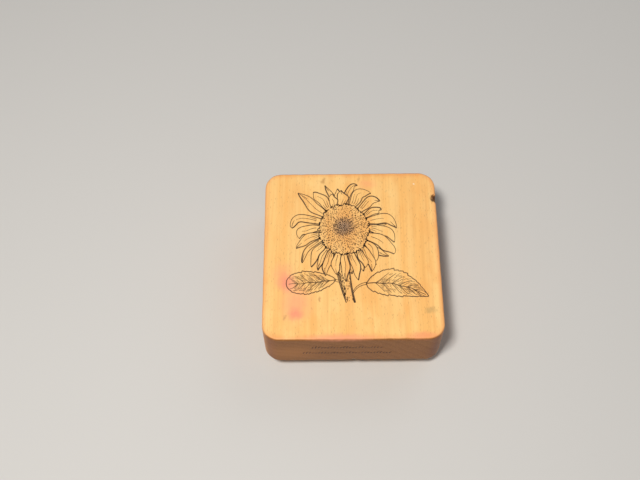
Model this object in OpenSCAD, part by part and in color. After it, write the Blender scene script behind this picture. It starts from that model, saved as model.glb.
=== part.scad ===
// Wood-mounted rubber stamp with a sunflower drawing.
// The printing face of the die lies on z = 0 and the block stands above it, +Z up.
// The drawing printed on top of the block lies straight above the same drawing on the die.

/* [Block] */
// Width of the wood block, left to right
block_w = 64; // [60:1:90]
// Depth of the wood block, front to back
block_d = 68; // [66:1:95]
// Thickness of the wood block
block_h = 20; // [12:0.5:32]
// Radius of the block's four upright corners
corner_r = 6; // [4:0.5:12]
// Radius of the sanded rounding along the top and bottom edges
edge_r = 0.8; // [0.3:0.1:2]
// Radius of the chipped knot in the right-hand top edge
chip_r = 1.9; // [1:0.1:3]
// How far the chipped knot reaches into the top face
chip_bite = 1.3; // [0.5:0.1:2]
// Distance from the block's middle back to the chipped knot
chip_y = 22.5; // [-20:0.5:24]

/* [Cushion and films] */
// Thickness of the foam cushion
cushion_t = 3.2; // [2:0.1:6]
// Thickness of each adhesive film
film_t = 0.15; // [0.1:0.05:0.4]

/* [Rubber die] */
// Thickness of the die's backing sheet
sheet_t = 1.1; // [0.8:0.1:2]
// Height of the raised lines above the sheet
relief_h = 1.3; // [0.8:0.1:2]
// Rubber left around the drawing where the die is trimmed
trim_margin = 1.6; // [1:0.1:2.5]
// Distance from the die's back edge to the back of the block
back_gap = 3; // [0.5:0.1:6]

/* [Drawing] */
// Left-right place of the flower head's centre
head_x = -2.6; // [-3.5:0.1:-1.5]
// Half width of the seed disc
disc_rx = 8.9; // [7:0.1:10]
// Half depth of the seed disc
disc_ry = 10.2; // [7:0.1:10.5]
// Radius of the dark heart of the disc, where the seeds are largest
heart_r = 3.9; // [2:0.1:5]
// Size of the crown of petals, as a share of the drawing's own
petal_size = 1; // [0.9:0.02:1.04]
// Width of the petals, as a share of the drawing's own
petal_wide = 1; // [0.8:0.05:1.2]
// Width of the drawing's main lines
line_w = 0.4; // [0.3:0.02:0.6]
// Width of the drawing's fine lines
fine_w = 0.28; // [0.22:0.02:0.4]
// Thickness of the printed ink
ink_t = 0.05; // [0.03:0.01:0.1]
// Seeds in the disc
seed_count = 130; // [40:5:140]
// Radius of a seed outside the heart
seed_r = 0.24; // [0.2:0.01:0.3]
// Radius of a seed in the heart
heart_seed_r = 0.42; // [0.3:0.01:0.45]

/* [Hidden] */

// Heights of the stacked pieces, from the printing face up
die_t = relief_h + sheet_t;
cushion_z = die_t + film_t;
mount_film_z = cushion_z + cushion_t;
block_z = mount_film_z + film_t;
block_top = block_z + block_h;

// Place of the flower head, so that the die's back edge keeps its distance from the block's
petal_top = 19.8 * petal_size; // how far the hindmost petal tip lies behind the head's centre
head = [head_x, block_d / 2 - back_gap - trim_margin - petal_top];
crown_r = 18 * petal_size; // the die is trimmed no closer than this around the flower head

golden_angle = 137.508;
ink_spread = 0.02; // ink and rubber round the corners of a drawn line by this much
petal_steps = 12;
petal_root = 0.96; // where a petal starts, as a share of the disc's radius
leaf_teeth = 11;
tooth_depth = 0.17; // as a share of the leaf's half width
trim_blend = 5; // radius that the trimming blends its inside corners with

// ---- Shapes that repeat ----

// A smooth wave from -1 to 1 that gives each petal and blade its own sway
function vary(i, salt) = sin(i * salt);
function turned(p, a) = [p.x * cos(a) - p.y * sin(a), p.x * sin(a) + p.y * cos(a)];
function heading(p, q) = atan2(q.y - p.y, q.x - p.x);
function ray(distance, a) = distance * [cos(a), sin(a)];

// The points of a bowed line from p to q; bow is its sideways reach at mid length
function bowed(p, q, bow, n = 8) = let (a = heading(p, q), run = norm(q - p))
    [for (k = [0:n]) let (u = k / n) p + turned([u * run, 4 * bow * u * (1 - u)], a)];

// A line of the given width along points, narrowing to a share of it at its far end
module ribbon(points, width, taper = 0.5) {
    n = len(points) - 1;
    function side(k, s) = let (
        a = heading(points[max(k - 1, 0)], points[min(k + 1, n)]),
        half = width / 2 * (1 - (1 - taper) * k / n)) points[k] + turned([0, s * half], a);
    polygon(concat([for (k = [0:n]) side(k, 1)], [for (k = [n:-1:0]) side(k, -1)]));
}

// A closed line of the given width along the edge of a shape
module outline(points, width) {
    difference() {
        offset(delta = width / 2) polygon(points);
        offset(delta = -width / 2) polygon(points);
    }
}

// The upright profile of the block from its middle out to x, with both outer corners rounded
module eased_profile(x) {
    square([x - edge_r, block_h]);
    translate([0, edge_r]) square([x, block_h - 2 * edge_r]);
    for (z = [edge_r, block_h - edge_r])
        translate([x - edge_r, z]) circle(r = edge_r, $fn = 48);
}

// ---- Drawing ----

// Distance from the disc's centre to its edge in direction a
function disc_edge(a) = 1 / sqrt(pow(cos(a) / disc_rx, 2) + pow(sin(a) / disc_ry, 2));

// The petals from the back of the crown to its front: direction of the root, length it grows
// straight out, direction and distance of its tip from the centre, width, and how blunt it ends
PETALS = [
    [122, 8.0, 125.5, 19.5, 4.0, 0.1],
    [107, 6.0, 110, 20.2, 2.0, 0.0],
    [99, 5.0, 97, 17.6, 2.2, 0.0],
    [85, 10.5, 74, 19.5, 2.6, 0.1],
    [53, 8.5, 41, 18.0, 3.6, 0.1],
    [-42, 5.0, -35, 19.6, 3.4, 0.1],
    [-62, 6.0, -52, 18.6, 3.2, 0.2],
    [4, 4.0, 8, 16.2, 1.1, 0.6],
    [250, 5.0, 245, 17.5, 2.8, 0.1],
    [277, 6.0, 278, 18.5, 2.6, 0.0],
    [294, 5.0, 291, 18.6, 2.4, 0.1],
    [207, 8.0, 222, 20.6, 1.7, 0.7],
    [233, 6.0, 240, 19.4, 2.4, 0.1],
    [139, 7.0, 137, 23.2, 4.2, 0.2],
    [92, 4.0, 93, 15.6, 4.4, 0.2],
    [110, 4.0, 105, 14.6, 3.2, 0.1],
    [72, 8.5, 56, 18.5, 4.4, 0.15],
    [35, 7.5, 30, 15.8, 3.0, 0.2],
    [21, 9.5, 1, 19.4, 4.2, 0.2],
    [2, 8.0, -17, 19.2, 4.2, 0.2],
    [-19, 9.0, -30, 20.8, 4.8, 0.5],
    [159, 11.5, 178, 19.2, 3.2, 1.0],
    [177, 8.5, 193, 16.8, 3.8, 0.2],
    [194, 6.5, 204, 19.2, 3.6, 0.1],
    [220, 5.0, 232, 19.6, 3.2, 0.3],
    [-36, 8.5, -60, 17.0, 3.6, 0.1],
    [-50, 7.0, -61, 20.0, 3.6, 0.1],
    [243, 6.0, 250, 20.2, 3.2, 0.1],
    [257, 6.0, 261, 18.8, 3.2, 0.2],
    [285, 6.0, 283, 21.4, 3.2, 0.1],
    [270, 6.0, 271, 21.4, 3.2, 0.1],
    [300, 6.0, 295, 17.5, 2.8, 0.1]];

// A point of petal i: u runs along it and side across it, from -1 to 1
function petal_point(i, u, side) = let (
    petal = PETALS[i],
    root = ray(petal_root * disc_edge(petal[0]), petal[0]),
    bend = root + ray(petal_size * petal[1], petal[0]),
    tip = ray(petal_size * petal[3], petal[2]),
    middle = pow(1 - u, 2) * root + 2 * u * (1 - u) * bend + u * u * tip,
    half = petal_wide * petal[4] / 2 * pow(sin(180 * (0.14 + 0.86 * u)), 0.95 - 0.55 * petal[5]),
    ripple = 0.1 * petal[4] * sin(458 * u + 137 * i) * sin(180 * u))
    head + middle + turned([0, side * half + ripple], heading((1 - u) * root + u * bend,
                                                              (1 - u) * bend + u * tip));

function petal_line(i, side, first, last) =
    [for (k = [first:last]) petal_point(i, k / petal_steps, side)];

module petal_area(i) {
    polygon(concat(petal_line(i, 1, 0, petal_steps),
                   [for (k = [petal_steps - 1:-1:0]) petal_point(i, k / petal_steps, -1)]));
}

// Each petal's two edges and its creases, left out where the petals in front of it lie
module petal_lines() {
    last = len(PETALS) - 1;
    for (i = [0:last])
        difference() {
            union() {
                ribbon(petal_line(i, 1, 0, petal_steps), line_w, 0.8);
                ribbon(petal_line(i, -1, 0, petal_steps), line_w, 0.8);
                ribbon(petal_line(i, 0.06, 2, 6 + round(3 * vary(i, 77))), fine_w);
                if (i % 3 == 0) ribbon(petal_line(i, -0.45, 1, 4), fine_w);
                if (i % 3 == 1) ribbon(petal_line(i, 0.5, 1, 4), fine_w);
            }
            if (i < last) for (j = [i + 1:last]) petal_area(j);
        }
}

module all_petals() {
    for (i = [0:len(PETALS) - 1]) petal_area(i);
}

module disc_area(grow = 0) {
    translate(head) scale([disc_rx + grow, disc_ry + grow]) circle(r = 1, $fn = 60);
}

// One leaf: root, tip, bow of its midrib, its half widths on the left and right of it, where it is
// widest (above 1 nearer its tip) and how blunt its ends are (lower is blunter)
left_leaf = [head + [-3.4, -20.6], head + [-20.8, -22.8], 0.3, 3.2, 5, 1.25, 0.55];
right_leaf = [head + [7.6, -22.2], head + [29.5, -27.4], 2, 5, 4.6, 0.8, 0.8];

function midrib(leaf, u) = let (a = heading(leaf[0], leaf[1]), run = norm(leaf[1] - leaf[0]))
    leaf[0] + turned([u * run, 4 * leaf[2] * u * (1 - u)], a);

// A point of a leaf at u along its midrib and side across it, from -1 to 1
function leaf_point(leaf, u, side) = let (
    half = side > 0 ? leaf[3] : leaf[4],
    swell = pow(sin(180 * pow(u, leaf[5])), leaf[6]))
    midrib(leaf, u) + turned([0, side * half * swell], heading(leaf[0], leaf[1]));

// The leaf's edge. Each tooth leans towards the tip and drops back to the next one.
function leaf_edge(leaf, depth = tooth_depth) = let (n = leaf_teeth) concat(
    [for (k = [0:n - 1], t = [0, 0.8]) leaf_point(leaf, (k + t) / n, 1 + depth * t)],
    [leaf_point(leaf, 1, 0)],
    [for (k = [n - 1:-1:0], t = [0.8, 0]) leaf_point(leaf, (k + t) / n, -1 - depth * t)]);

module leaf_lines(leaf) {
    outline(leaf_edge(leaf), line_w);
    ribbon([for (k = [0:10]) midrib(leaf, k / 10.5)], line_w);
    for (v = [1:5], side = [-1, 1])
        ribbon([for (k = [0:3]) leaf_point(leaf, v / 6.8 + 0.04 * k, side * k / 4)], fine_w);
}

stem_top = head + [-1, -17.5];
stem_foot = head + [1.5, -29.4];
stem_half = 1.5; // half the stem's width

module stem_area() {
    polygon(concat(
        [for (p = bowed(stem_top, stem_foot, -0.6)) p + [stem_half, 0]],
        [for (p = bowed(stem_foot, stem_top, 0.6)) p - [stem_half, 0]]));
}

module stem_lines() {
    middle = bowed(stem_foot, stem_top, 0.6, 10);
    for (s = [-1, 1])
        ribbon([for (p = middle) p + [s * stem_half, 0]], 1.4 * line_w, 1);
    // Shading strokes, each a share of the half width off the middle, from one step up to another
    for (stroke = [[-0.35, 1, 6], [0.15, 4, 9], [0.55, 0, 5]])
        ribbon([for (k = [stroke[1]:stroke[2]]) middle[k] + [stroke[0] * stem_half, 0]], fine_w);
}

// The stalks that carry the leaves out from the stem
stalk_half = 0.4;

module stalk_lines() {
    right_stalk = bowed(head + [2.9, -25.5], right_leaf[0], 0.8);
    left_stalk = bowed(head + [-2, -21.2], left_leaf[0], 0.1, 3);
    for (stalk = [right_stalk, left_stalk], s = [-1, 1])
        ribbon([for (p = stalk) p + [0, s * stalk_half]], fine_w, 1);
}

// The seeds lie on a sunflower's spiral inside the disc's rim, the heart a little behind its middle
function seed(k) = let (r = sqrt(k / seed_count), a = k * golden_angle)
    head + r * [(disc_rx - 0.9) * cos(a), (disc_ry - 0.9) * sin(a)];

heart = head + [0, 1.1];
function seed_size(p) = norm(p - heart) < heart_r ? heart_seed_r : seed_r;

module line_art() {
    offset(delta = ink_spread) {
        difference() {
            union() {
                petal_lines();
                difference() {
                    union() {
                        difference() {
                            union() {
                                leaf_lines(left_leaf);
                                leaf_lines(right_leaf);
                                stalk_lines();
                            }
                            stem_area();
                        }
                        stem_lines();
                    }
                    all_petals();
                }
            }
            disc_area();
        }
        difference() {
            disc_area(line_w / 2);
            disc_area(-line_w / 2);
        }
    }
}

// The whole drawing, raised to the given height
module drawing(height) {
    linear_extrude(height = height) line_art();
    for (k = [1:seed_count])
        translate(seed(k)) cylinder(r = seed_size(seed(k)), h = height, $fn = 24);
}

// The shape that the die, the films and the cushion are trimmed to around the drawing
module trimmed_shape() {
    offset(r = -trim_blend, $fn = 40) offset(r = trim_blend + trim_margin, $fn = 40) {
        translate(head) circle(r = crown_r, $fn = 90);
        all_petals();
        polygon(leaf_edge(left_leaf, 0));
        polygon(leaf_edge(right_leaf, 0));
        stem_area();
    }
}

// ---- Pieces ----

// Hardwood mount: sanded block, grain front to back, with one chipped knot in an edge
module wood_block() {
    post_x = block_w / 2 - corner_r;
    post_y = block_d / 2 - corner_r;
    color("burlywood") translate([0, 0, block_z]) difference() {
        union() {
            for (x = [-post_x, post_x], y = [-post_y, post_y])
                translate([x, y]) rotate_extrude($fn = 96) eased_profile(corner_r);
            for (turn = [0, 180])
                rotate(turn) rotate([90, 0, 0])
                    translate([0, 0, -post_y]) linear_extrude(height = 2 * post_y)
                        eased_profile(block_w / 2);
            for (turn = [90, 270])
                rotate(turn) rotate([90, 0, 0])
                    translate([0, 0, -post_x]) linear_extrude(height = 2 * post_x)
                        eased_profile(block_d / 2);
        }
        translate([block_w / 2 + chip_r - chip_bite, chip_y, block_h]) sphere(r = chip_r, $fn = 48);
    }
}

// The drawing in black ink on top of the block
module index_print() {
    color("#33261f") translate([0, 0, block_top]) drawing(ink_t);
}

// Faded ink on the front of the block: two rows of leaning grass blades
side_print_x = -2.5;
blade_pitch = 1.1;
blade_w = 0.4;
blade_lean = 0.45; // as a share of a blade's height

module blade_row(count, height, z) {
    for (k = [0:count - 1]) {
        tip_z = height * (1 + 0.3 * vary(k, 77));
        tip_x = blade_lean * height;
        translate([side_print_x + (k - (count - 1) / 2) * blade_pitch, z])
            polygon([[0, 0], [blade_w, 0], [tip_x + blade_w, tip_z], [tip_x, tip_z]]);
    }
}

module side_print() {
    color("#5a4a3c") translate([0, -block_d / 2, block_z]) rotate([90, 0, 0])
        linear_extrude(height = ink_t) {
            blade_row(23, 1.7, 0.6 * block_h);
            blade_row(29, 1.5, 0.35 * block_h);
        }
}

// Sticky film between block and cushion
module mount_film() {
    color("lightyellow") translate([0, 0, mount_film_z])
        linear_extrude(height = film_t) trimmed_shape();
}

// Soft foam that lets the die meet the paper evenly
module foam_cushion() {
    color("dimgray") translate([0, 0, cushion_z]) linear_extrude(height = cushion_t) trimmed_shape();
}

// Sticky film between cushion and die
module die_film() {
    color("lightyellow") translate([0, 0, die_t]) linear_extrude(height = film_t) trimmed_shape();
}

// Moulded red rubber: a backing sheet with the drawing raised below it
module rubber_die() {
    color("firebrick") union() {
        drawing(relief_h + sheet_t / 2);
        translate([0, 0, relief_h]) linear_extrude(height = sheet_t) trimmed_shape();
    }
}

wood_block();
index_print();
side_print();
mount_film();
foam_cushion();
die_film();
rubber_die();
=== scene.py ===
import cmath
import math
import random

import bmesh
import bpy
from mathutils import Matrix, Quaternion, Vector, noise


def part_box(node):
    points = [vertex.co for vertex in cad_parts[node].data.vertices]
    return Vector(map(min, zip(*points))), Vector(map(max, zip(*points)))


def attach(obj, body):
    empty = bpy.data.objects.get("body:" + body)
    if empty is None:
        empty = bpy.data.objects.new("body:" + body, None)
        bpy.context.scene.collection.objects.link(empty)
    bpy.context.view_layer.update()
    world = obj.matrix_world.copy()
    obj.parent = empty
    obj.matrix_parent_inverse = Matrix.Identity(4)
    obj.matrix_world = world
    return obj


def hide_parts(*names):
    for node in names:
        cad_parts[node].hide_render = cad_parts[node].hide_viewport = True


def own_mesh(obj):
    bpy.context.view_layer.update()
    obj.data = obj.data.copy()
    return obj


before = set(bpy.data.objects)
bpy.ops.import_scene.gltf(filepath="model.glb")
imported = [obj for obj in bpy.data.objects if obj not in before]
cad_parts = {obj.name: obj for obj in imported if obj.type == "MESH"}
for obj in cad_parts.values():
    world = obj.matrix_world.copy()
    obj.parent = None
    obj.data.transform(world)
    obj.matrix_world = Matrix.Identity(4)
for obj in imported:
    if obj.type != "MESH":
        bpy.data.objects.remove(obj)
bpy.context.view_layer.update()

# ---- Camera ----
# Held high in front of the stamp, a forearm's length away, looking down on its top.
# It aims a little left of the block and behind it, so the stamp stands right of the middle.
ELEVATION = math.radians(61.8)
AZIMUTH = math.radians(0.9)
ROLL = math.radians(-1.35)
DISTANCE = 0.3294
MM = 0.001
block_low, block_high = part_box("wood_block")
aim = Vector((-11.45 * MM, 5.2 * MM, block_high.z))
away = Vector((math.sin(AZIMUTH) * math.cos(ELEVATION), -math.cos(AZIMUTH) * math.cos(ELEVATION),
               math.sin(ELEVATION)))
camera_data = bpy.data.cameras.new("camera")
camera_data.sensor_width = 36
camera_data.lens = 50.6
camera_data.clip_start = 0.01
camera = bpy.data.objects.new("camera", camera_data)
camera.location = aim + away * DISTANCE
camera.rotation_euler = (away.to_track_quat("Z", "Y") @ Quaternion((0, 0, 1), ROLL)).to_euler()
bpy.context.scene.collection.objects.link(camera)
bpy.context.scene.camera = camera

# ---- Floor and lights ----
# A plain pale sheet just under the stamp. A small soft lamp hangs above and a little to the left,
# near the camera. A weak broad one at the back right and the pale room fill the shadows.


def shade(red, green, blue):
    """A colour from 0 to 255 as a painter mixes it, turned into the linear one that shaders take."""
    shares = [channel / 255 for channel in (red, green, blue)]
    return (*(c / 12.92 if c < 0.0404 else ((c + 0.055) / 1.055) ** 2.4 for c in shares), 1.0)


def add_node(tree, kind, inputs=None, **settings):
    """Adds a shader node, sets its options, then links or fills each of its inputs."""
    new = tree.nodes.new(kind)
    for name, value in settings.items():
        setattr(new, name, value)
    for key, value in (inputs or {}).items():
        if isinstance(value, bpy.types.NodeSocket):
            tree.links.new(value, new.inputs[key])
        else:
            new.inputs[key].default_value = value
    return new


def new_material(name):
    """A material with one Principled shader, returned with its node tree and that shader."""
    material = bpy.data.materials.new(name)
    material.use_nodes = True
    tree = material.node_tree
    return material, tree, tree.nodes["Principled BSDF"]


def soft_lamp(name, place, size, watts, tint):
    """A square lamp that shines from a place, in metres, at the stamp."""
    lamp_data = bpy.data.lights.new(name, "AREA")
    lamp_data.size = size
    lamp_data.energy = watts
    lamp_data.color = tint
    lamp = bpy.data.objects.new(name, lamp_data)
    lamp.location = place
    lamp.rotation_euler = Vector(place).to_track_quat("Z", "Y").to_euler()
    bpy.context.scene.collection.objects.link(lamp)


FLOOR_GAP = 0.02   # in mm, so that the floor and the rubber's flat lines never lie in one plane
material, tree, shader = new_material("pale_floor")
shader.inputs["Base Color"].default_value = shade(206, 203, 198)
shader.inputs["Roughness"].default_value = 0.75
bm = bmesh.new()
bmesh.ops.create_grid(bm, x_segments=1, y_segments=1, size=3)
bmesh.ops.translate(bm, vec=(0, 0, -FLOOR_GAP * MM), verts=bm.verts)
floor_mesh = bpy.data.meshes.new("floor")
bm.to_mesh(floor_mesh)
bm.free()
floor_mesh.materials.append(material)
floor = bpy.data.objects.new("floor", floor_mesh)
bpy.context.scene.collection.objects.link(floor)

soft_lamp("key_lamp", (-0.13, -0.18, 0.62), 0.10, 3.6, (1.0, 0.98, 0.95))
soft_lamp("fill_lamp", (0.5, 0.5, 0.6), 0.6, 0.9, (0.95, 0.97, 1.0))
room = bpy.data.worlds.new("pale_room")
room.use_nodes = True
room.node_tree.nodes["Background"].inputs["Color"].default_value = (0.93, 0.95, 1.0, 1.0)
room.node_tree.nodes["Background"].inputs["Strength"].default_value = 0.2
bpy.context.scene.world = room
bpy.context.scene.view_settings.view_transform = "Standard"

# ---- Wood block ----
# A square of hardwood sawn across the plank, so its grain runs front to back and its front and
# back are end grain. The upright corners are cut round and every edge is sanded, then handled smooth.
BLOCK_W = (block_high.x - block_low.x) / MM
BLOCK_D = (block_high.y - block_low.y) / MM
BLOCK_TOP = block_high.z / MM
BLOCK_FOOT = block_low.z / MM
CORNER_R = 6
EDGE_R = 0.8
CHIP = Vector((BLOCK_W / 2, 22.5, BLOCK_TOP))
CHIP_REACH = Vector((1.7, 1.8, 2.4))
CHIP_DEPTH = 1.7
RUBBED, SANDED = 0.16, 0.03   # how deep wear goes at the edges and on the faces


def cut_across(bm, axis, low, high, step):
    """Cuts the block into slices along an axis: fine ones within the sanded edges, wider ones between."""
    places = [end + way * EDGE_R * k / 4 for end, way in ((low, 1), (high, -1)) for k in (1, 2, 3, 4)]
    count = round((high - low - 2 * EDGE_R) / step)
    places += [low + EDGE_R + (high - low - 2 * EDGE_R) * k / count for k in range(1, count)]
    for place in places:
        bmesh.ops.bisect_plane(bm, geom=bm.verts[:] + bm.edges[:] + bm.faces[:], dist=1e-5,
                               plane_co=[place if k == axis else 0 for k in range(3)],
                               plane_no=[float(k == axis) for k in range(3)])


def round_over(p):
    """Moves a point of the square-cut block onto the block with rounded corners and sanded edges."""
    side = Vector((math.copysign(1, p.x), math.copysign(1, p.y)))
    inset = min(BLOCK_W / 2 - abs(p.x), BLOCK_D / 2 - abs(p.y))
    depth = min(p.z - BLOCK_FOOT, BLOCK_TOP - p.z)
    new_inset, new_depth = inset, depth
    if inset < EDGE_R and depth < EDGE_R:
        swing = math.radians(90) * (depth - inset + EDGE_R) / (2 * EDGE_R)
        new_inset = EDGE_R * (1 - math.sin(swing))
        new_depth = EDGE_R * (1 - math.cos(swing))
    corner = Vector((abs(p.x) - BLOCK_W / 2 + CORNER_R, abs(p.y) - BLOCK_D / 2 + CORNER_R))
    if corner.x > 0 and corner.y > 0:
        corner *= (CORNER_R - new_inset) / (CORNER_R - inset)
        corner *= max(corner) / corner.length
    elif corner.x > corner.y:
        corner.x += inset - new_inset
    else:
        corner.y += inset - new_inset
    p.x = side.x * (corner.x + BLOCK_W / 2 - CORNER_R)
    p.y = side.y * (corner.y + BLOCK_D / 2 - CORNER_R)
    p.z += (new_depth - depth) * (1 if p.z - BLOCK_FOOT < BLOCK_TOP - p.z else -1)
    return new_inset, new_depth


def make_piece(name, bm, body, material):
    """Turns a mesh modelled in millimetres into a smooth piece, in metres, that moves with a body."""
    bmesh.ops.scale(bm, vec=(MM, MM, MM), verts=bm.verts)
    mesh = bpy.data.meshes.new(name)
    bm.to_mesh(mesh)
    bm.free()
    mesh.materials.append(material)
    mesh.shade_smooth()
    piece = bpy.data.objects.new(name, mesh)
    bpy.context.scene.collection.objects.link(piece)
    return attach(piece, body)


bm = bmesh.new()
bmesh.ops.create_cube(bm, size=1)
bmesh.ops.scale(bm, vec=(BLOCK_W, BLOCK_D, BLOCK_TOP - BLOCK_FOOT), verts=bm.verts)
bmesh.ops.translate(bm, vec=(0, 0, (BLOCK_TOP + BLOCK_FOOT) / 2), verts=bm.verts)
cut_across(bm, 0, -BLOCK_W / 2, BLOCK_W / 2, 0.8)
cut_across(bm, 1, -BLOCK_D / 2, BLOCK_D / 2, 0.7)
cut_across(bm, 2, BLOCK_FOOT, BLOCK_TOP, 0.8)
near_chip = [e for e in bm.edges if all((v.co - CHIP).length < 3.4 for v in e.verts)]
bmesh.ops.subdivide_edges(bm, edges=near_chip, cuts=2, use_grid_fill=True)
edge_of = {}
for v in bm.verts:
    edge_of[v] = round_over(v.co)
bm.normal_update()
# Wear: edges rubbed unevenly, faint hollows from sanding, and a few small knocks.
KNOCKS = [((0.3, -34, BLOCK_FOOT + 0.2), 1.3, 0.5), ((-12, -34, BLOCK_TOP), 1.1, 0.22),
          ((19, -34, BLOCK_TOP), 1.4, 0.2), ((-31.5, 8, BLOCK_TOP), 1.2, 0.2),
          ((30.3, -30.5, BLOCK_FOOT + 1), 1.6, 0.3), ((-30, 31, BLOCK_TOP), 1.5, 0.18),
          ((12, 34, BLOCK_FOOT), 1.5, 0.35), ((-32, -14, BLOCK_FOOT), 1.2, 0.3)]
for v in bm.verts:
    inset, depth = edge_of[v]
    near_edge = max(0, 1 - max(inset, depth) / 1.6)
    rubbed = RUBBED * near_edge * max(0, noise.noise(v.co * 0.35) + 0.25)
    sanded = SANDED * (noise.noise(v.co * 0.12) + 0.5) * (0.15 if v.normal.z > 0.9 else 1)
    move = -(rubbed + sanded)
    for place, reach, depth_mm in KNOCKS:
        far = (v.co - Vector(place)).length / reach
        if far < 1:
            move -= depth_mm * (1 - far * far) ** 2 * (1 + 0.5 * noise.noise(v.co * 3))
    from_chip = v.co - CHIP
    far = Vector([a / b for a, b in zip(from_chip, CHIP_REACH)]).length
    far += 0.25 * noise.noise(v.co * 1.1) + 0.06 * noise.noise(v.co * 4)
    if far < 1:
        inwards = (Vector((10, CHIP.y, BLOCK_TOP - 16)) - v.co).normalized()
        v.co += inwards * CHIP_DEPTH * (1 - far) ** 0.5
    v.co += v.normal * move


def start_group(name, inputs, outputs):
    """A node group with named inputs and outputs, each a name and a kind, and its two end nodes."""
    group = bpy.data.node_groups.new(name, "ShaderNodeTree")
    for label, kind in inputs:
        group.interface.new_socket(label, in_out="INPUT", socket_type=kind)
    for label, kind in outputs:
        group.interface.new_socket(label, in_out="OUTPUT", socket_type=kind)
    return group, group.nodes.new("NodeGroupInput"), group.nodes.new("NodeGroupOutput")


def maths(tree, operation, *values):
    """The result of a Math node on numbers or sockets."""
    return add_node(tree, "ShaderNodeMath", dict(enumerate(values)), operation=operation).outputs[0]


def vector_maths(tree, operation, *values):
    new = add_node(tree, "ShaderNodeVectorMath", dict(enumerate(values)), operation=operation)
    return new.outputs["Value" if operation in ("LENGTH", "DISTANCE", "DOT_PRODUCT") else "Vector"]


def spread(tree, value, low, high, to_low=0.0, to_high=1.0, smooth=True):
    """A value rescaled from one range to another, with eased ends."""
    new = add_node(tree, "ShaderNodeMapRange", {"Value": value, "From Min": low, "From Max": high,
                                                "To Min": to_low, "To Max": to_high},
                   interpolation_type="SMOOTHSTEP" if smooth else "LINEAR")
    return new.outputs["Result"]


def cloud(tree, place, scale, detail=3.0, roughness=0.55):
    """A soft noise value at a place, with its own scale along each axis."""
    stretched = vector_maths(tree, "MULTIPLY", place, scale)
    new = add_node(tree, "ShaderNodeTexNoise", {"Vector": stretched, "Scale": 1.0, "Detail": detail,
                                                "Roughness": roughness})
    return new.outputs["Fac"]


def mix(tree, factor, first, second, blend="MIX"):
    """Two colours mixed by a factor."""
    new = add_node(tree, "ShaderNodeMix", data_type="RGBA", blend_type=blend)
    for socket, value in zip((new.inputs[0], new.inputs[6], new.inputs[7]), (factor, first, second)):
        if isinstance(value, bpy.types.NodeSocket):
            tree.links.new(value, socket)
        else:
            socket.default_value = value
    return new.outputs[2]


def tinted(tree, colour, mask, strength, tint):
    """A colour with a tint laid over it where a mask is high."""
    return mix(tree, maths(tree, "MULTIPLY", mask, strength), colour, tint)


# The wood's figure: yearly rings about a pith below the block, fine streaks and open pores, all along Y.
figure, inside_in, inside_out = start_group(
    "wood_figure", [("Place", "NodeSocketVector")],
    [("Rings", "NodeSocketFloat"), ("Streaks", "NodeSocketFloat"), ("Pores", "NodeSocketFloat"),
     ("Bands", "NodeSocketFloat")])
place = inside_in.outputs["Place"]
sway = vector_maths(figure, "SUBTRACT", add_node(figure, "ShaderNodeTexNoise", {
    "Vector": vector_maths(figure, "MULTIPLY", place, (0.05, 0.012, 0.05)), "Scale": 1.0, "Detail": 1.0}
    ).outputs["Color"], (0.5, 0.5, 0.5))
swayed = vector_maths(figure, "ADD", place, vector_maths(figure, "MULTIPLY", sway, (3.0, 0.0, 3.0)))
from_pith = vector_maths(figure, "MULTIPLY", vector_maths(figure, "SUBTRACT", swayed, (-34.0, 0.0, -38.0)),
                         (1.0, 0.0, 1.0))
ring_place = maths(figure, "FRACT", maths(figure, "DIVIDE", vector_maths(figure, "LENGTH", from_pith), 3.3))
figure.links.new(maths(figure, "MULTIPLY", maths(figure, "POWER", ring_place, 2.2),
                       spread(figure, ring_place, 1.0, 0.93)), inside_out.inputs["Rings"])
figure.links.new(cloud(figure, swayed, (1.7, 0.035, 1.7), 5.0, 0.6), inside_out.inputs["Streaks"])
figure.links.new(cloud(figure, swayed, (0.22, 0.008, 0.22), 3.0), inside_out.inputs["Bands"])
cells = add_node(figure, "ShaderNodeTexVoronoi",
                 {"Vector": vector_maths(figure, "MULTIPLY", swayed, (2.9, 0.55, 2.9)), "Scale": 1.0})
chosen = add_node(figure, "ShaderNodeSeparateColor", {"Color": cells.outputs["Color"]}).outputs["Red"]
figure.links.new(maths(figure, "MULTIPLY", spread(figure, cells.outputs["Distance"], 0.34, 0.10),
                       spread(figure, chosen, 0.42, 0.85)), inside_out.inputs["Pores"])

# The wood's colour at a place on the block, with its stains and some painted light and shade. The ink
# layers use it too, for the wood that shows through them.
HONEY, AMBER, STREAK_BROWN = shade(254, 204, 128), shade(249, 189, 109), shade(206, 142, 78)
END_GRAIN, PORE_BROWN = shade(152, 96, 40), shade(126, 80, 40)
colour_group, inside_in, inside_out = start_group(
    "wood_colour", [("Place", "NodeSocketVector"), ("Facing", "NodeSocketVector")],
    [("Color", "NodeSocketColor"), ("Height", "NodeSocketFloat")])
place = inside_in.outputs["Place"]
figure_node = add_node(colour_group, "ShaderNodeGroup", {"Place": place}, node_tree=figure)
rings, streaks, pores, bands = (figure_node.outputs[k] for k in ("Rings", "Streaks", "Pores", "Bands"))
facing = add_node(colour_group, "ShaderNodeSeparateXYZ", {"Vector": inside_in.outputs["Facing"]})
end_on = spread(colour_group, maths(colour_group, "ABSOLUTE", facing.outputs["Y"]), 0.35, 0.85)
colour = mix(colour_group, spread(colour_group, bands, 0.35, 0.68), HONEY, AMBER)
colour = tinted(colour_group, colour, spread(colour_group, streaks, 0.40, 0.76), 0.26, STREAK_BROWN)
blotches = cloud(colour_group, place, (0.13, 0.07, 0.13), 4.0, 0.6)
colour = tinted(colour_group, colour, spread(colour_group, blotches, 0.50, 0.68), 0.4, shade(243, 172, 92))
colour = tinted(colour_group, colour, spread(colour_group, blotches, 0.46, 0.30), 0.4, shade(255, 214, 142))
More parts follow.
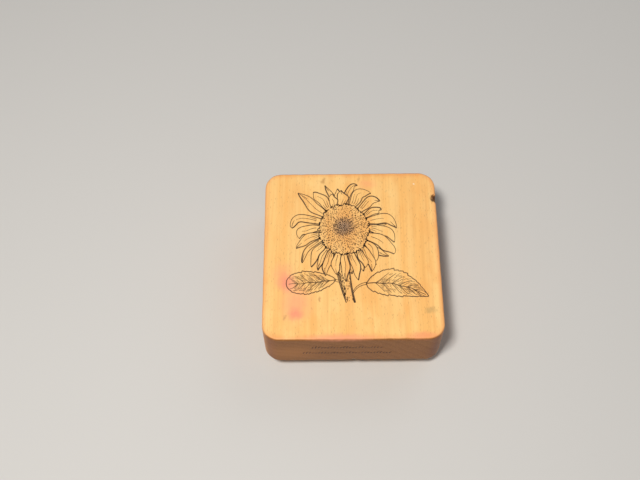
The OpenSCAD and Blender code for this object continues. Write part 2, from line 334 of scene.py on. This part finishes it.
colour = tinted(colour_group, colour, rings, 0.11, STREAK_BROWN)
colour = tinted(colour_group, colour, pores, 0.42, PORE_BROWN)
end_colour = tinted(colour_group, END_GRAIN, rings, 0.28, shade(108, 64, 30))
pale_streaks = spread(colour_group, streaks, 0.55, 0.3)
end_colour = tinted(colour_group, end_colour, pale_streaks, 0.7, shade(176, 116, 58))
end_colour = tinted(colour_group, end_colour, pores, 0.6, shade(72, 40, 20))
turned = maths(colour_group, "MULTIPLY", facing.outputs["X"], facing.outputs["Y"])
turned = spread(colour_group, maths(colour_group, "ABSOLUTE", turned), 0.05, 0.45)

# Handling has turned the wood redder towards the edges of its top and on its upright corners.
flat = vector_maths(colour_group, "ABSOLUTE", vector_maths(colour_group, "MULTIPLY", place, (1.0, 1.0, 0.0)))
past_corner = vector_maths(colour_group, "MAXIMUM", vector_maths(
    colour_group, "SUBTRACT", flat, (BLOCK_W / 2 - CORNER_R, BLOCK_D / 2 - CORNER_R, 0.0)), (0.0, 0.0, 0.0))
outwards = maths(colour_group, "ADD", vector_maths(colour_group, "LENGTH", past_corner),
                 maths(colour_group, "MULTIPLY", bands, 3.0))
rim = spread(colour_group, outwards, CORNER_R - 1.2, CORNER_R + 1.6)
colour = tinted(colour_group, colour, rim, 0.6, shade(238, 150, 88))
colour = mix(colour_group, end_on, colour, end_colour)
colour = tinted(colour_group, colour, turned, 0.45, shade(150, 82, 40))

# The foot of the end grain is rubbed pale.
level = add_node(colour_group, "ShaderNodeSeparateXYZ", {"Vector": place}).outputs["Z"]
rubbed_foot = maths(colour_group, "MULTIPLY", spread(colour_group, level, BLOCK_FOOT + 1.0, BLOCK_FOOT + 0.35),
                    spread(colour_group, bands, 0.3, 0.6, 0.2, 0.8))
colour = tinted(colour_group, colour, rubbed_foot, end_on, shade(150, 130, 110))

# Stains of stamping ink, darker flecks and paler places, with painted light and shade among them: a
# painted lighter patch on the front's left, painted shade on its right corner, a painted highlight on
# the pale nick at the foot, and painted shade, near black, in the dark hollow of the chip.
TOP, FOOT = BLOCK_TOP, BLOCK_FOOT
STAINS_AND_PAINTED_LIGHT = [  # middle, reach along x, y and z, colour, strength
    ((-5.0, -33.2, TOP), (17.0, 2.2, 3.0), shade(247, 158, 118), 0.6),
    ((24.0, -32.5, TOP), (7.0, 2.2, 3.0), shade(247, 150, 108), 0.5),
    ((-20.0, -20.0, TOP), (8.0, 10.0, 1.0), shade(250, 164, 120), 0.7),
    ((-25.0, -9.0, TOP), (5.5, 7.5, 1.0), shade(250, 166, 118), 0.6),
    ((-23.4, -12.2, TOP), (4.4, 5.4, 1.0), shade(240, 132, 120), 0.6),
    ((-20.3, -24.2, TOP), (3.8, 3.6, 1.0), shade(244, 132, 114), 0.58),
    ((6.5, 29.0, TOP), (5.0, 3.2, 1.0), shade(252, 170, 116), 0.55),
    ((27.4, -23.1, TOP), (3.4, 1.8, 1.0), shade(196, 158, 96), 0.6),
    ((-10.2, 30.8, TOP), (0.9, 2.2, 1.0), shade(190, 138, 78), 0.7),
    ((3.3, 31.4, TOP), (0.7, 1.8, 1.0), shade(200, 146, 86), 0.6),
    ((-11.6, -18.6, TOP), (0.8, 1.6, 1.0), shade(190, 134, 80), 0.7),
    ((-24.0, -25.5, TOP), (0.8, 1.6, 1.0), shade(200, 140, 86), 0.6),
    ((-2.6, 9.6, TOP), (12.0, 13.5, 1.0), shade(228, 158, 84), 0.6),
    ((-2.6, 10.7, TOP), (5.4, 5.6, 1.0), shade(150, 134, 122), 0.6),
    # Painted light: the front's left is painted lighter, as if lit from the left.
    ((-22.0, -34.0, 14.0), (14.0, 4.0, 9.0), shade(192, 126, 62), 0.5),
    # Painted shade: the front's right corner is painted darker.
    ((29.0, -31.0, 14.0), (9.0, 6.0, 10.0), shade(120, 62, 28), 0.5),
    ((24.0, 29.2, TOP), (0.6, 0.45, 1.0), shade(255, 246, 226), 0.9),
    # A pale nick at the foot of the front, partly a painted highlight.
    ((0.3, -34.0, FOOT), (1.5, 1.5, 1.2), shade(206, 176, 146), 0.9),
    # The chip's hollow: dark wood, deepened to near black with painted shade.
    ((31.7, 22.5, TOP - 1.0), (2.6, 2.7, 4.5), shade(22, 10, 6), 1.0),
]
wander = vector_maths(colour_group, "SUBTRACT", add_node(colour_group, "ShaderNodeTexNoise", {
    "Vector": place, "Scale": 0.55, "Detail": 3.0}).outputs["Color"], (0.5, 0.5, 0.5))
wander = vector_maths(colour_group, "MULTIPLY", wander, (2.4, 2.4, 0.0))
wandered = vector_maths(colour_group, "ADD", place, wander)
for middle, reach, tint, strength in STAINS_AND_PAINTED_LIGHT:
    offset = vector_maths(colour_group, "SUBTRACT", wandered, middle)
    offset = vector_maths(colour_group, "DIVIDE", offset, reach)
    spot = spread(colour_group, vector_maths(colour_group, "LENGTH", offset), 1.0, 0.1)
    colour = tinted(colour_group, colour, spot, strength, tint)
colour_group.links.new(colour, inside_out.inputs["Color"])
height = maths(colour_group, "SUBTRACT", maths(colour_group, "MULTIPLY", streaks, 0.5),
               maths(colour_group, "ADD", maths(colour_group, "MULTIPLY", pores, 0.6),
                     maths(colour_group, "MULTIPLY", rings, 0.2)))
colour_group.links.new(height, inside_out.inputs["Height"])


def place_in_mm(tree):
    """The place on the piece, in millimetres."""
    coordinates = add_node(tree, "ShaderNodeTexCoord")
    return vector_maths(tree, "MULTIPLY", coordinates.outputs["Object"], (1000.0, 1000.0, 1000.0))


def wood_at_surface(tree, in_mm):
    """The wood_colour group, fed with a place in millimetres and the surface's direction."""
    direction = add_node(tree, "ShaderNodeTexCoord").outputs["Normal"]
    return add_node(tree, "ShaderNodeGroup", {"Place": in_mm, "Facing": direction}, node_tree=colour_group)


def add_bump(tree, shader, height, strength, depth):
    """Gives a shader the fine relief of a height, with its depth in mm."""
    bump = add_node(tree, "ShaderNodeBump", {"Height": height, "Strength": strength, "Distance": depth * MM})
    tree.links.new(bump.outputs["Normal"], shader.inputs["Normal"])


hardwood, tree, shader = new_material("hardwood")
wood = wood_at_surface(tree, place_in_mm(tree))
tree.links.new(wood.outputs["Color"], shader.inputs["Base Color"])
tree.links.new(spread(tree, wood.outputs["Height"], -0.4, 0.5, 0.62, 0.42, smooth=False),
               shader.inputs["Roughness"])
shader.inputs["Specular IOR Level"].default_value = 0.35
add_bump(tree, shader, wood.outputs["Height"], 0.35, 0.12)
block = make_piece("block", bm, "block", hardwood)
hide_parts("wood_block")


# ---- Ink drawing ----
# The maker prints the stamp's own picture on top of the block, so that the user sees what it stamps:
# a sunflower in fine sepia pen lines, worked out in millimetres with a point as x + yj.
HEAD = complex(-2.6, 9.6)        # centre of the flower head
DISC_RX, DISC_RY = 8.9, 10.2     # half width and half depth of its seed disc
MAIN, FINE, HAIR = 0.38, 0.26, 0.18   # widths of the pen's lines

strokes = []   # each is a list of points and a list of widths
dots = []      # each is a middle and a radius
pen = random.Random(7)


def on_disc(angle, reach=1.0):
    a = math.radians(angle)
    rim = 1 / math.hypot(math.cos(a) / DISC_RX, math.sin(a) / DISC_RY)
    return HEAD + cmath.rect(rim * reach, a)


def inside(point, outline):
    hit = False
    for a, b in zip(outline, outline[-1:] + outline[:-1]):
        if (a.imag > point.imag) != (b.imag > point.imag):
            if point.real < (b.real - a.real) * (point.imag - a.imag) / (b.imag - a.imag) + a.real:
                hit = not hit
    return hit


class Cover(list):
    """A closed outline that hides the lines drawn behind it."""

    def __init__(self, pts):
        super().__init__(pts)
        self.lo = complex(min(p.real for p in pts), min(p.imag for p in pts))
        self.hi = complex(max(p.real for p in pts), max(p.imag for p in pts))

    def hides(self, p):
        in_box = self.lo.real < p.real < self.hi.real and self.lo.imag < p.imag < self.hi.imag
        return in_box and inside(p, self)


def draw(points, start, end, behind=()):
    """Adds a pen line that runs from one width to another, left out where a shape in front hides it."""
    line = [points[0]]
    for a, b in zip(points, points[1:]):
        parts = max(1, round(abs(b - a) / 0.3))
        line += [a + (b - a) * (k + 1) / parts for k in range(parts)]
    run = []
    for k, p in enumerate(line + [None]):
        if p is not None and not any(c.hides(p) for c in behind):
            run.append((p, start + (end - start) * k / (len(line) - 1)))
        elif run:
            if len(run) > 1:
                strokes.append(([q for q, w in run], [w for q, w in run]))
            run = []


# Petals from the back to the front: the direction of the root (degrees), how far it grows straight out,
# the direction and distance of its tip from the centre, its width, and how blunt it ends.
PETALS = [
    (122, 8.0, 125.5, 19.5, 4.0, 0.1),
    (107, 6.0, 110, 20.2, 2.0, 0.0),
    (99, 5.0, 97, 17.6, 2.2, 0.0),
    (85, 10.5, 74, 19.5, 2.6, 0.1),
    (53, 8.5, 41, 18.0, 3.6, 0.1),
    (-42, 5.0, -35, 19.6, 3.4, 0.1),
    (-62, 6.0, -52, 18.6, 3.2, 0.2),
    (4, 4.0, 8, 16.2, 1.1, 0.6),
    (250, 5.0, 245, 17.5, 2.8, 0.1),
    (277, 6.0, 278, 18.5, 2.6, 0.0),
    (294, 5.0, 291, 18.6, 2.4, 0.1),
    (207, 8.0, 222, 20.6, 1.7, 0.7),
    (233, 6.0, 240, 19.4, 2.4, 0.1),
    (139, 7.0, 137, 23.2, 4.2, 0.2),
    (92, 4.0, 93, 16.8, 4.3, -0.3),
    (109, 4.0, 105, 15.8, 3.2, -0.2),
    (72, 8.5, 56, 18.5, 4.4, 0.15),
    (35, 7.5, 30, 15.8, 3.0, 0.2),
    (21, 9.5, 1, 19.4, 4.2, 0.2),
    (2, 8.0, -17, 19.2, 4.2, 0.2),
    (-19, 9.0, -30, 20.8, 4.8, 0.5),
    (159, 11.5, 178, 19.2, 3.2, 1.0),
    (177, 8.5, 193, 16.8, 3.8, 0.2),
    (194, 6.5, 204, 19.2, 3.6, 0.1),
    (220, 5.0, 232, 19.6, 3.2, 0.3),
    (-36, 8.5, -60, 17.0, 3.6, 0.1),
    (-50, 7.0, -61, 20.0, 3.6, 0.1),
    (243, 6.0, 250, 20.2, 3.2, 0.1),
    (257, 6.0, 261, 18.8, 3.2, 0.2),
    (285, 6.0, 283, 21.4, 3.2, 0.1),
    (270, 6.0, 271, 21.4, 3.2, 0.1),
    (300, 6.0, 295, 17.5, 2.8, 0.1),
]
PETAL_STEPS = 20


def petal_edges(root, grow, tip, far, width, blunt):
    """The left edge, middle and right edge of a petal, from its root to its tip."""
    start = on_disc(root, 0.96)
    bend = start + cmath.rect(grow, math.radians(root))
    end = HEAD + cmath.rect(far, math.radians(tip))
    wave = pen.uniform(0, 6)
    edges = [[], [], []]
    for k in range(PETAL_STEPS + 1):
        u = k / PETAL_STEPS
        middle = start * (1 - u) ** 2 + bend * 2 * u * (1 - u) + end * u * u
        heading = (bend - start) * (1 - u) + (end - bend) * u
        across = heading / abs(heading) * 1j
        half = width / 2 * math.sin(math.pi * (0.14 + 0.86 * u)) ** (0.95 - 0.55 * blunt)
        ripple = 0.10 * width * math.sin(8 * u + wave) * math.sin(math.pi * u)
        for edge, side in zip(edges, (1, 0, -1)):
            edge.append(middle + across * (side * half + ripple))
    return edges


disc = Cover([on_disc(a) for a in range(0, 360, 6)])
petals = [petal_edges(*row) for row in PETALS]
covers = [Cover(left + right[::-1]) for left, middle, right in petals]
for k, (left, middle, right) in enumerate(petals):
    front = covers[k + 1:] + [disc]
    bold = pen.choice((0.6, 1.3))
    draw(left, MAIN * 1.1, MAIN * bold, front)
    draw(right, MAIN * 1.1, MAIN * (1.9 - bold), front)
    creases = ((0.5, pen.uniform(0.3, 0.75)), (0.26, pen.uniform(0, 0.3)), (0.74, pen.uniform(0, 0.3)))
    for share, reach in creases:
        crease = [a + (b - a) * (share + 0.05 * math.sin(0.5 * n + k))
                  for n, (a, b) in enumerate(zip(right, left))]
        if reach > 0.12:
            draw(crease[2:3 + round(reach * PETAL_STEPS)], FINE, HAIR * 0.7, front)
    if pen.random() < 0.5:
        tip_line = [a + (b - a) * 0.4 for a, b in zip(right, left)][-7:-1]
        draw(tip_line, HAIR, FINE, front)

# The disc: a rim of short scallops, then florets in a spiral, dashes outside and dots in the dark heart.
SCALLOPS, FLORETS, HEART_DOTS = 58, 880, 220
GOLDEN_ANGLE = 137.508
HEART, HEART_R = HEAD + complex(0, 1.1), 3.9
for k in range(SCALLOPS):
    a = 360 * k / SCALLOPS + pen.uniform(-2.5, 2.5)
    reach = pen.uniform(0.96, 1.04)
    draw([on_disc(a + d, reach + 0.05 * math.cos(math.radians(22 * d))) for d in (-4, -2, 0, 2, 4)],
         MAIN * pen.uniform(0.8, 1.7), MAIN * pen.uniform(0.6, 1.3))
for k in range(FLORETS):
    reach = math.sqrt((k + 0.5) / FLORETS) * 0.97
    a = k * GOLDEN_ANGLE + pen.uniform(-7, 7)
    p = on_disc(a, reach) + cmath.rect(pen.uniform(0, 0.15), pen.uniform(0, 6.3))
    if abs(p - HEART) < 3.6 + 0.4 * math.sin(3 * cmath.phase(p - HEART)):
        dots.append((p, pen.uniform(0.13, 0.25)))
    elif pen.random() < 0.5:
        dash = cmath.rect(pen.uniform(0.14, 0.28), math.radians(a + pen.uniform(-75, 75)))
        strokes.append(([p - dash, p + dash * 0.2j, p + dash], [0.18, 0.27, 0.16]))
    else:
        dots.append((p, pen.uniform(0.08, 0.20)))
for k in range(HEART_DOTS):
    reach, turn = HEART_R * math.sqrt((k + 0.5) / HEART_DOTS), math.radians(GOLDEN_ANGLE * k)
    dots.append((HEART + cmath.rect(reach, turn), pen.uniform(0.11, 0.2)))

# Stem, stalks and toothed leaves.
def bowed(p, q, bow, parts=12):
    """A line from one point to another that bows to its left."""
    return [p + (q - p) * (k / parts + 4j * bow / abs(q - p) * k / parts * (1 - k / parts))
            for k in range(parts + 1)]


crown = covers + [disc]
stem = bowed(HEAD + complex(-0.6, -17.0), HEAD + complex(1.9, -29.6), -0.25)


def beside_stem(share, first=0, last=13):
    """A line along the stem; share runs from -1 on its left edge to 1 on its right."""
    return [p + share * (2.3 - 0.06 * k) for k, p in enumerate(stem)][first:last]


stem_cover = Cover(beside_stem(-1) + beside_stem(1)[::-1])
STEM_LINES = [  # place across, first and last point along, width at the top and at the foot
    (-1, 0, 13, 0.6, 0.4), (1, 0, 13, 0.5, 0.6), (-0.75, 0, 12, 0.5, 0.25), (-0.5, 1, 8, 0.25, 0.12),
    (0.8, 4, 13, 0.18, 0.4)]
STEM_DASHES = 110
for share, first, last, start, end in STEM_LINES:
    draw(beside_stem(share, first, last), start, end, crown)
for k in range(STEM_DASHES):
    p = beside_stem(pen.choice((-1, -1, 1)) * pen.uniform(0.1, 0.9))[pen.randrange(13)] - 1j * pen.uniform(0, 1)
    if stem_cover.hides(p - 0.8j):
        draw([p, p + complex(0.08, -pen.uniform(0.25, 0.8))], HAIR * 1.2, HAIR, crown)


def draw_leaf(root, tip, bow, halves, skew, blunt, teeth, behind):
    """Draws a leaf with a toothed edge, a midrib, side veins and pen shading along each vein."""
    length, way = abs(tip - root), (tip - root) / abs(tip - root)

    def spot(u, out):
        u = min(max(u, 0), 1)
        half = halves[0] if out > 0 else halves[1]
        rise = 4 * bow * u * (1 - u) + out * half * math.sin(math.pi * u ** skew) ** blunt
        return root + way * complex(u * length, rise)

    for side in (1, -1):
        edge = []
        for k in range(teeth):
            deep = pen.uniform(0.04, 0.15)
            for t in (0, 0.4, 0.85):
                edge.append(spot((k + t) / teeth, side * (1 + deep * (t - 0.3) + 0.03 * math.sin(2.1 * k))))
        draw(edge + [tip], MAIN, MAIN * 0.9, behind)
    draw([spot(k / 20, 0.04 * math.sin(k)) for k in range(20)], MAIN, FINE, behind)
    for v in range(1, 7):
        for side in (1, -1):
            u = v / 7.8 + pen.uniform(-0.015, 0.015)
            draw([spot(u + 0.035 * k, side * k / 6.6) for k in range(6)], FINE, HAIR, behind)
            for line in range(1, 6):
                for first in pen.sample((0.2, 1.2, 2.6, 3.8), 2):
                    count = pen.randint(2, 3)
                    if u + 0.022 * line + 0.035 * (first + count) < 0.93:
                        draw([spot(u + 0.022 * line + 0.035 * (first + k), side * (first + k) / 6.6)
                              for k in range(count)], HAIR * 0.9, HAIR * 0.6, behind)


behind = crown + [stem_cover]
draw_leaf(complex(-6.0, -11.0), complex(-23.6, -12.6), 0.3, (4.2, 4.6), 1.45, 0.42, 12, behind)
draw_leaf(complex(5.0, -12.6), complex(26.9, -17.8), 2.0, (5.8, 4.6), 0.72, 0.85, 13, behind)
for gap in (0.4j, -0.4j):
    for stalk in (bowed(complex(0.3, -15.9), complex(5.2, -12.5), 0.8),
                  bowed(complex(-4.6, -11.6), complex(-6.2, -11.0), 0.1)):
        draw([p + gap for p in stalk], FINE, FINE, [stem_cover])


def add_lines(bm, lines, spots, level, depth, flare=0.0):
    """Lays pen lines and dots flat at a height, then extrudes them; flare widens their far side."""
    uv = bm.loops.layers.uv.verify()
    flat = []
    for middle, radius in spots:
        place = Matrix.Translation((middle.real, middle.imag, level))
        dot = bmesh.ops.create_circle(bm, cap_ends=True, segments=7, radius=radius, matrix=place)["verts"]
        flat += dot[0].link_faces
        for loop in flat[-1].loops:
            loop[uv].uv = (0.5, middle.real)
    for points, widths in lines:
        along = 0
        pairs = []
        for k, (p, width) in enumerate(zip(points, widths)):
            run = points[min(k + 1, len(points) - 1)] - points[max(k - 1, 0)]
            side = run / max(abs(run), 1e-6) * 0.5j * width
            along += abs(p - points[max(k - 1, 0)])
            pairs.append(([bm.verts.new((q.real, q.imag, level)) for q in (p + side, p - side)], along))
        for (first, start), (second, end) in zip(pairs, pairs[1:]):
            flat.append(bm.faces.new((first[0], first[1], second[1], second[0])))
            for loop, place in zip(flat[-1].loops, ((0, start), (1, start), (1, end), (0, end))):
                loop[uv].uv = place
    drawn = bmesh.ops.extrude_face_region(bm, geom=flat)["geom"]
    far_side = [part for part in drawn if isinstance(part, bmesh.types.BMVert)]
    bmesh.ops.translate(bm, vec=(0, 0, depth), verts=far_side)
    bmesh.ops.recalc_face_normals(bm, faces=bm.faces)
    bm.normal_update()
    for v in far_side:
        v.co += Vector((v.normal.x, v.normal.y, 0)).normalized() * flare


def ink_material(name, ink, cover, patchy):
    """Ink that has sunk into the wood: the wood's own colour under a broken layer of ink."""
    material, tree, shader = new_material(name)
    in_mm = place_in_mm(tree)
    wood = wood_at_surface(tree, in_mm)
    on_line = add_node(tree, "ShaderNodeTexCoord").outputs["UV"]
    across = add_node(tree, "ShaderNodeSeparateXYZ", {"Vector": on_line}).outputs["X"]
    from_middle = maths(tree, "ABSOLUTE", maths(tree, "SUBTRACT", across, 0.5))
    edge = spread(tree, from_middle, 0.56, 0.34, 0.5, 1.0)
    speckle = spread(tree, cloud(tree, in_mm, (5.0, 2.4, 5.0), 4.0, 0.7), 0.26, 0.48, 0.55, 1.0)
    worn = spread(tree, cloud(tree, in_mm, (0.12, 0.12, 0.12), 2.0), 0.3, 0.6, 1.0 - patchy, 1.0)
    ink_share = maths(tree, "MULTIPLY", maths(tree, "MULTIPLY", edge, speckle),
                      maths(tree, "MULTIPLY", worn, cover))
    tree.links.new(mix(tree, ink_share, wood.outputs["Color"], ink), shader.inputs["Base Color"])
    tree.links.new(spread(tree, ink_share, 0.0, 1.0, 0.5, 0.72), shader.inputs["Roughness"])
    add_bump(tree, shader, wood.outputs["Height"], 0.3, 0.1)
    return material


INK_PROUD, INK_DEPTH = 0.02, 0.06
bm = bmesh.new()
add_lines(bm, strokes, dots, BLOCK_TOP + INK_PROUD, -INK_DEPTH)
index_ink = make_piece("drawing", bm, "block", ink_material("index_ink", shade(46, 28, 22), 0.97, 0.2))
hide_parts("index_print")

# ---- Faded print on the front ----
# Two rows of small leaning grass blades in thin ink, nearly rubbed away by handling. It sits in the
# end grain of the front face.
ROWS = [(23, 1.7, 0.6), (29, 1.5, 0.35)]   # blades, their height, and the row's level as a share of the face
ROW_MIDDLE, BLADE_GAP = -2.4, 1.1
BLADE_WIDTHS = [0.4, 0.5, 0.46, 0.34, 0.14]
FADED_PROUD, FADED_DEPTH = 0.005, 0.065
blades = []
for count, tall, level in ROWS:
    for k in range(count):
        foot = complex(ROW_MIDDLE + (k - (count - 1) / 2) * BLADE_GAP,
                       BLOCK_FOOT + level * (BLOCK_TOP - BLOCK_FOOT))
        height = tall * (1 + 0.3 * math.sin(math.radians(77 * k)))
        lean = pen.uniform(0.3, 0.6) * tall
        blades.append(([foot + complex(lean * t * t, height * t) for t in (0, 0.25, 0.5, 0.75, 1)],
                       BLADE_WIDTHS))
bm = bmesh.new()
add_lines(bm, blades, [], FADED_PROUD, -FADED_DEPTH)
for v in bm.verts:
    v.co = Vector((v.co.x, -BLOCK_D / 2 - v.co.z, v.co.y))
bmesh.ops.recalc_face_normals(bm, faces=bm.faces)
faded_ink = make_piece("faded_print", bm, "block", ink_material("faded_ink", shade(40, 34, 34), 0.9, 0.4))
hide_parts("side_print")

# ---- Adhesive films ----
# Two thin sheets of double-sided tape. One holds the foam to the block, the other the rubber to the
# foam. They are trimmed together with the foam, so their edges show only as pale lines.


def cut_outline(node):
    """The outline that a flat CAD piece is trimmed to, in millimetres, walked round its lower edge."""
    bm = bmesh.new()
    bm.from_mesh(bpy.data.objects[node].data)
    bmesh.ops.remove_doubles(bm, verts=bm.verts, dist=1e-6)
    low = min(v.co.z for v in bm.verts)
    rim = [e for e in bm.edges if all(v.co.z < low + 1e-6 for v in e.verts)
           and any(abs(f.normal.z) < 0.5 for f in e.link_faces)]
    vert, edge = rim[0].verts[0], rim[0]
    outline = []
    while not outline or edge is not rim[0]:
        outline.append(complex(vert.co.x, vert.co.y) / MM)
        vert = edge.other_vert(vert)
        edge = next(e for e in vert.link_edges if e in rim and e is not edge)
    bm.free()
    if sum((a.conjugate() * b).imag for a, b in zip(outline, outline[1:] + outline[:1])) < 0:
        outline.reverse()
    return outline


def even_outline(outline, gap):
    """A closed outline with its points spaced evenly."""
    closed = outline + outline[:1]
    length = sum(abs(b - a) for a, b in zip(closed, closed[1:]))
    spaced, carried = [], 0.0
    for a, b in zip(closed, closed[1:]):
        while carried < abs(b - a):
            spaced.append(a + (b - a) * carried / abs(b - a))
            carried += length / round(length / gap)
        carried -= abs(b - a)
    return spaced


def add_slab(bm, levels, wobble, salt):
    """Adds a closed slab cut along the trimmed outline; each level is a height and an inset, in mm."""
    foot = levels[0][0]
    face = bm.faces.new([bm.verts.new((p.real, p.imag, foot)) for p in trimmed])
    rings = [face.verts[:]]
    for z, inset in levels[1:]:
        raised = bmesh.ops.extrude_face_region(bm, geom=[face])["geom"]
        face = next(part for part in raised if isinstance(part, bmesh.types.BMFace))
        bmesh.ops.translate(bm, vec=(0, 0, z - rings[-1][0].co.z), verts=face.verts)
        rings.append(face.verts[:])
    bmesh.ops.recalc_face_normals(bm, faces=bm.faces)
    bm.normal_update()
    for ring, (z, inset) in zip(rings, levels):
        for v in ring:
            uneven = wobble * noise.noise(Vector((v.co.x * 0.25, v.co.y * 0.25, salt)))
            uneven += 0.35 * wobble * noise.noise(Vector((v.co.x * 1.6, v.co.y * 1.6, z * 1.2 + salt)))
            v.co += Vector((v.normal.x, v.normal.y, 0)).normalized() * (uneven - inset)


trimmed = even_outline(cut_outline("die_film"), 0.45)
film_low, film_high = (corner.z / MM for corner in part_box("die_film"))
upper_low, upper_high = (corner.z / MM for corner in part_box("mount_film"))
adhesive, tree, shader = new_material("adhesive_film")
lint = spread(tree, cloud(tree, place_in_mm(tree), (1.1, 1.1, 3.0), 4.0, 0.7), 0.5, 0.7)
tree.links.new(mix(tree, lint, shade(214, 204, 176), shade(136, 122, 100)), shader.inputs["Base Color"])
tree.links.new(spread(tree, lint, 0.0, 1.0, 0.28, 0.7), shader.inputs["Roughness"])
TAPES = [("tape_under_block", "mount_film", "block", upper_low, upper_high, 3.0),
         ("tape_over_die", "die_film", "die", film_low, film_high, 5.0)]
for name, node, body, low, high, salt in TAPES:
    bm = bmesh.new()
    middle = (low + high) / 2
    levels = [(low, 0.1), (low + 0.03, 0.05), (middle, 0.02), (high - 0.03, 0.05), (high, 0.1)]
    add_slab(bm, levels, 0.1, salt)
    tape = make_piece(name, bm, body, adhesive)
    tape.data.set_sharp_from_angle(angle=math.radians(50))
    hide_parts(node)

# ---- Foam cushion ----
# Grey closed-cell foam, cut with a blade that leaves a faintly wavy wall of open cells. It is taped
# on both faces and gives by a quarter of its thickness when the block is pressed down.
FOAM_RISE = upper_low - film_high
bm = bmesh.new()
levels = [(film_high, 0.12), (film_high + 0.08, 0.03)]
levels += [(film_high + FOAM_RISE * k / 12, -0.05 * math.sin(math.pi * k / 12)) for k in range(1, 12)]
levels += [(upper_low - 0.08, 0.03), (upper_low, 0.12)]
add_slab(bm, levels, 0.3, 8.0)
material, tree, shader = new_material("foam")
in_mm = place_in_mm(tree)
cells = add_node(tree, "ShaderNodeTexVoronoi", {"Vector": in_mm, "Scale": 3.2, "Randomness": 1.0})
grime = cloud(tree, in_mm, (0.12, 0.12, 0.12), 3.0)
foam_colour = mix(tree, spread(tree, grime, 0.35, 0.65), shade(96, 94, 92), shade(72, 70, 70))
# Painted shade: the hollows of the cut cells are painted dark.
foam_colour = mix(tree, spread(tree, cells.outputs["Distance"], 0.42, 0.1), foam_colour, shade(46, 44, 44))
tree.links.new(foam_colour, shader.inputs["Base Color"])
shader.inputs["Roughness"].default_value = 0.92
add_bump(tree, shader, spread(tree, cells.outputs["Distance"], 0.05, 0.5), 0.8, 0.12)
foam = make_piece("foam", bm, "die", material)
foam.data.set_sharp_from_angle(angle=math.radians(50))
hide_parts("foam_cushion")
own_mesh(foam)

# ---- Rubber die ----
# One moulding in brick-red rubber: a backing sheet with the picture standing up from it. Its printing
# lands stand on the table, dark with old ink, and the walls beside each line slope out to the sheet.
SHEET = 1.3      # height of the backing sheet's lower face
ROOT, FLARE = 0.25, 0.22   # how far the lines reach into the sheet, and how much wider they are there
levels = [(SHEET, 0.06), (SHEET + 0.06, 0.0), (SHEET + 0.5, -0.03), (film_low - 0.06, 0.02), (film_low, 0.08)]
bm = bmesh.new()
add_slab(bm, levels, 0.22, 11.0)
add_lines(bm, strokes, dots, 0.0, SHEET + ROOT, flare=FLARE)
material, tree, shader = new_material("red_rubber")
in_mm = place_in_mm(tree)
height_mm = add_node(tree, "ShaderNodeSeparateXYZ", {"Vector": in_mm}).outputs["Z"]
bloom = cloud(tree, in_mm, (0.16, 0.16, 0.3), 4.0, 0.6)
grain = cloud(tree, in_mm, (6.0, 6.0, 6.0), 3.0, 0.6)
rubber = mix(tree, spread(tree, bloom, 0.35, 0.65), shade(166, 62, 46), shade(142, 50, 40))
rubber = tinted(tree, rubber, spread(tree, grain, 0.5, 0.75), 0.3, shade(190, 96, 76))
inked = maths(tree, "ADD", height_mm, maths(tree, "MULTIPLY", maths(tree, "SUBTRACT", grain, 0.5), 0.5))
inked = spread(tree, inked, 0.55, 0.12)
stained = spread(tree, cloud(tree, in_mm, (0.3, 0.3, 0.3), 3.0), 0.5, 0.72, 0.0, 0.45)
rubber = mix(tree, stained, rubber, shade(104, 40, 44))
rubber = mix(tree, inked, rubber, shade(46, 30, 30))
tree.links.new(rubber, shader.inputs["Base Color"])
tree.links.new(spread(tree, grain, 0.3, 0.7, 0.5, 0.68), shader.inputs["Roughness"])
add_bump(tree, shader, grain, 0.35, 0.08)
die = make_piece("die", bm, "die", material)
die.data.set_sharp_from_angle(angle=math.radians(35))
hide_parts("rubber_die")
